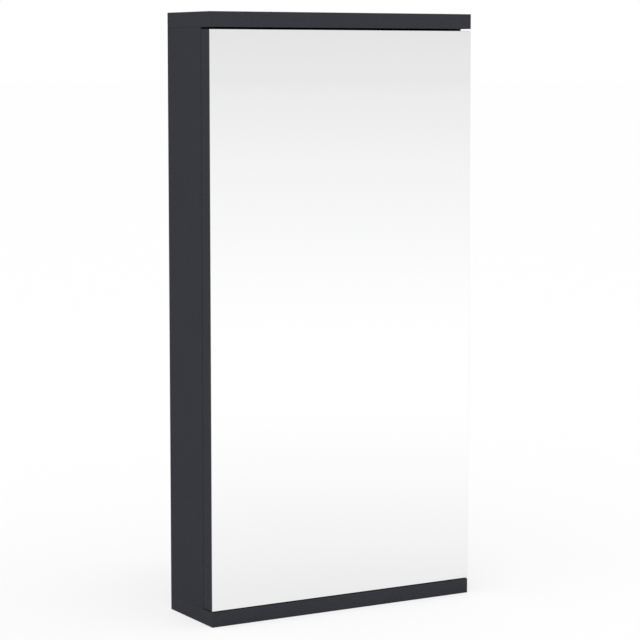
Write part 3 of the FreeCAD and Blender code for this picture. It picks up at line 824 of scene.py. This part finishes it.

# %% [markdown]
# The floor is pale and plain. It is lit by the room, so the cabinet keeps a soft shadow where
# it stands. A floor as bright as the white behind it would need more light on the cabinet
# too, so it is lifted towards white for camera rays only. For glossy rays it glows with painted
# tones instead: a painted reflection of the studio, with a painted shadow near the cabinet and
# painted shade behind its front plane. These tones are spread over the logarithm of the
# distance, because they change fast near the cabinet.

# %% Floor values
FLOOR_COLOUR = (0.98, 0.98, 0.98)
FLOOR_ROUGH = 0.8
FLOOR_SHEEN = 0.1
FLOOR_LIFT = 0.68
FLOOR_CORNERS = 64
NEAREST = 0.1
NEAREST_TO_RIM = math.log(FLOOR_RADIUS / NEAREST)
print("the floor's tones start at m:", NEAREST)


# %% Floor finish
def floor_finish():
    shader = Shader(bpy.data.materials.new("floor"))
    surface = shader.tree.nodes["Principled BSDF"]
    shader.feed(surface.inputs["Base Color"], FLOOR_COLOUR)
    shader.feed(surface.inputs["Roughness"], FLOOR_ROUGH)
    shader.feed(surface.inputs["Specular IOR Level"], FLOOR_SHEEN)
    where = shader.add("ShaderNodeTexCoord", output="Object")
    radius = shader.add("ShaderNodeVectorMath", {"operation": "LENGTH"}, {"Vector": where},
                        output="Value")
    share = (radius / NEAREST).math("LOGARITHM", math.e) / NEAREST_TO_RIM
    tones = [(math.log(place / NEAREST) / NEAREST_TO_RIM, tone) for place, tone in PAINTED_FLOOR_TONES]
    sideways, backward = shader.split(where)[:2]
    tone = tone_ramp(shader, share, tones, 0.0, 1.0)
    # Painted shade on the floor's glossy tones, behind the mirror's front plane.
    tone = darker_behind(shader, tone, sideways, backward - FRONT)
    # The floor glows with these painted tones for glossy rays: a painted reflection, with a painted shadow
    # near the cabinet.
    painted_reflection = shader.add("ShaderNodeEmission", {}, {"Color": tone})
    white = shader.add("ShaderNodeEmission", {}, {"Color": WHITE})
    camera_ray = shader.add("ShaderNodeLightPath", output="Is Camera Ray")
    glossy_ray = shader.add("ShaderNodeLightPath", output="Is Glossy Ray")
    plain = Signal(shader, surface.outputs[0])
    seen = shader.add("ShaderNodeMixShader", {}, {}, (camera_ray * FLOOR_LIFT, plain, white))
    both = shader.add("ShaderNodeMixShader", {}, {}, (glossy_ray, seen, painted_reflection))
    shader.feed(shader.tree.nodes["Material Output"].inputs["Surface"], both)
    return shader.owner


# %% Floor
floor_mesh = bpy.data.meshes.new("floor")
turns = [math.tau * step / FLOOR_CORNERS for step in range(FLOOR_CORNERS)]
rim = [(FLOOR_RADIUS * math.cos(turn), FLOOR_RADIUS * math.sin(turn), 0) for turn in turns]
floor_mesh.from_pydata(rim, [], [list(range(FLOOR_CORNERS))])
floor_mesh.materials.append(floor_finish())
floor = bpy.data.objects.new("floor", floor_mesh)
bpy.context.scene.collection.objects.link(floor)
print("floor radius:", FLOOR_RADIUS)

# %% [markdown]
# One large soft lamp stands high in front on the left, as in a product studio. It is weak,
# because the boards should render about as dark as they are painted, and it only gives the
# edges a direction. Light from the world alone would leave both sides of a corner alike.

# %% Lamp
LAMP_WIDTH = 2.4
LAMP_POWER = 12.0
LAMP_PLACE = Vector((-2.2, -2.6, 2.8))
LAMP_AIM = Vector((0, 0, 0.3))
lamp_data = bpy.data.lights.new("soft_box", "AREA")
lamp_data.shape = "DISK"
lamp_data.size = LAMP_WIDTH
lamp_data.energy = LAMP_POWER
lamp = bpy.data.objects.new("soft_box", lamp_data)
lamp.location = LAMP_PLACE
lamp.rotation_euler = (LAMP_AIM - LAMP_PLACE).to_track_quat("-Z", "Y").to_euler()
bpy.context.scene.collection.objects.link(lamp)
print("lamp to cabinet:", round(LAMP_PLACE.length, 2), "m")

# %% [markdown]
# The Standard view shows each colour as it is written, where a film-like view would grey the
# white floor.

# %% View
bpy.context.scene.view_settings.view_transform = "Standard"
